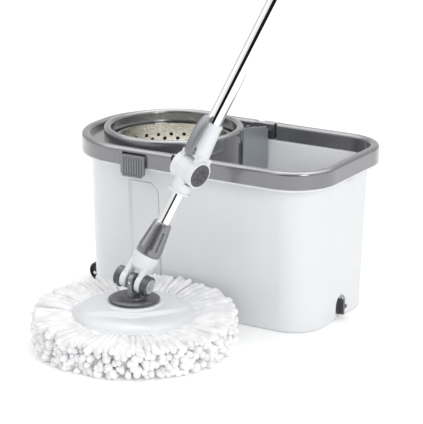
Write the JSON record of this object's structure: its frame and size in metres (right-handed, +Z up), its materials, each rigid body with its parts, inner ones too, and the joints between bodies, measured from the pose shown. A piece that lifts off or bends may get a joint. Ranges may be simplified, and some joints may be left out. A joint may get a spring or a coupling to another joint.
{
  "type": "spin mop",
  "caption": "Spin mop set: a white bucket with a perforated spin basket, grey rim cover and carry handle, and a round microfibre mop on a folding chrome pole.",
  "frame": {"origin": "middle of the bucket's base, on the floor", "axes": "+X along the bucket to the drain end, +Y to the bucket's far long side, away from the mop, +Z up"},
  "size_m": [0.5549, 0.5289, 0.9464],
  "materials": {
    "white_plastic": "gloss",
    "silver_plastic": "satin metallic",
    "panel_plastic": "satin",
    "latch_plastic": "satin",
    "dark_plastic": "satin",
    "light_plastic": "satin",
    "chrome_tube": "polished",
    "basket_steel": "brushed",
    "pin_steel": "turned",
    "bush_plastic": "matt",
    "rubber": "matt",
    "grip_foam": "matt",
    "microfibre": "looped pile"
  },
  "bodies": {
    "bucket": {"bucket": "white_plastic", "rim_cover": "silver_plastic", "splash_panel": "panel_plastic", "handle_pins": "dark_plastic", "latch_pins": "pin_steel", "wheel_axles": "pin_steel", "basket_post": "white_plastic", "post_bearing": "bush_plastic"},
    "handle": {"carry_handle": "silver_plastic"},
    "front_latch": {"latch_front": "latch_plastic"},
    "back_latch": {"latch_back": "latch_plastic"},
    "front_wheel": {"wheel_front": "rubber"},
    "back_wheel": {"wheel_back": "rubber"},
    "plug": {"drain_plug": "dark_plastic", "drain_seal": "rubber"},
    "basket": {"spin_basket": "basket_steel", "basket_hub": "white_plastic", "basket_shaft": "pin_steel"},
    "mop_base": {"swivel_base": "dark_plastic", "hub_washer": "pin_steel", "centre_bracket": "latch_plastic", "roll_pin": "pin_steel"},
    "head": {"mop_plate": "white_plastic", "mop_ring": "light_plastic", "head_bearing": "bush_plastic", "microfibre_strands": "microfibre"},
    "drum": {"cross_axle": "pin_steel", "end_ring_left": "dark_plastic", "end_ring_right": "dark_plastic", "end_cap_left": "light_plastic", "end_cap_right": "light_plastic"},
    "lower_pole": {"fork_connector": "white_plastic", "grip_sleeve": "silver_plastic", "lower_tube": "chrome_tube", "elbow_lower_housing": "white_plastic"},
    "upper_pole": {"elbow_upper_housing": "white_plastic", "elbow_pin": "pin_steel", "elbow_cap_left": "dark_plastic", "elbow_cap_right": "dark_plastic", "lever_pin": "pin_steel", "upper_tube": "chrome_tube"},
    "lever": {"lock_lever": "latch_plastic"},
    "twist": {"twist_collar": "dark_plastic"},
    "top_pole": {"inner_tube": "chrome_tube", "inner_plug": "dark_plastic", "hand_grip": "grip_foam", "end_cap": "grip_foam"}
  },
  "joints": [
    {"name": "handle_swing", "type": "hinge", "parent": "bucket", "child": "handle", "pos_m": [0.004, 0, 0.2335], "axis": [0, -1, 0], "range_deg": [0, 90]},
    {"name": "basket_spin", "type": "hinge", "parent": "bucket", "child": "basket", "pos_m": [-0.085, 0, 0.12], "axis": [0, 0, 1], "continuous": true},
    {"name": "front_latch_flip", "type": "hinge", "parent": "bucket", "child": "front_latch", "pos_m": [-0.076, -0.125, 0.235], "axis": [-1, 0, 0], "range_deg": [0, 25]},
    {"name": "back_latch_flip", "type": "hinge", "parent": "bucket", "child": "back_latch", "pos_m": [-0.076, 0.125, 0.235], "axis": [1, 0, 0], "range_deg": [0, 25]},
    {"name": "front_wheel_spin", "type": "hinge", "parent": "bucket", "child": "front_wheel", "pos_m": [-0.199, -0.034, 0.015], "axis": [0, 1, 0], "continuous": true},
    {"name": "back_wheel_spin", "type": "hinge", "parent": "bucket", "child": "back_wheel", "pos_m": [-0.199, 0.034, 0.015], "axis": [0, 1, 0], "continuous": true},
    {"name": "plug_pull", "type": "slide", "parent": "bucket", "child": "plug", "axis": [1, 0, 0], "range_m": [0, 0.03]},
    {"name": "mop_slide", "type": "slide", "parent": "bucket", "child": "mop_base", "axis": [0, -1, 0], "range_m": [0, 0.3]},
    {"name": "head_spin", "type": "hinge", "parent": "mop_base", "child": "head", "pos_m": [0.005, -0.249, 0.05], "axis": [0, 0, 1], "continuous": true},
    {"name": "drum_rock", "type": "hinge", "parent": "mop_base", "child": "drum", "pos_m": [0.005, -0.249, 0.095], "axis": [0, 1, 0], "range_deg": [-25, 0]},
    {"name": "pole_tilt", "type": "hinge", "parent": "drum", "child": "lower_pole", "pos_m": [0.005, -0.249, 0.095], "axis": [0.9833, 0, -0.1822], "range_deg": [0, 75]},
    {"name": "elbow_fold", "type": "hinge", "parent": "lower_pole", "child": "upper_pole", "pos_m": [0.06526, -0.19832, 0.25241], "axis": [0.9286, -0.2485, -0.2755], "range_deg": [0, 90]},
    {"name": "lever_flip", "type": "hinge", "parent": "upper_pole", "child": "lever", "pos_m": [0.07196, -0.20605, 0.28196], "axis": [0.9286, -0.2485, -0.2755], "range_deg": [0, 40]},
    {"name": "collar_twist", "type": "hinge", "parent": "upper_pole", "child": "twist", "pos_m": [0.24123, -0.05033, 0.71211], "axis": [0.3424, 0.2879, 0.8944], "range_deg": [0, 60]},
    {"name": "pole_telescope", "type": "slide", "parent": "upper_pole", "child": "top_pole", "axis": [0.3424, 0.2879, 0.8944], "range_m": [0, 0.25]}
  ]
}
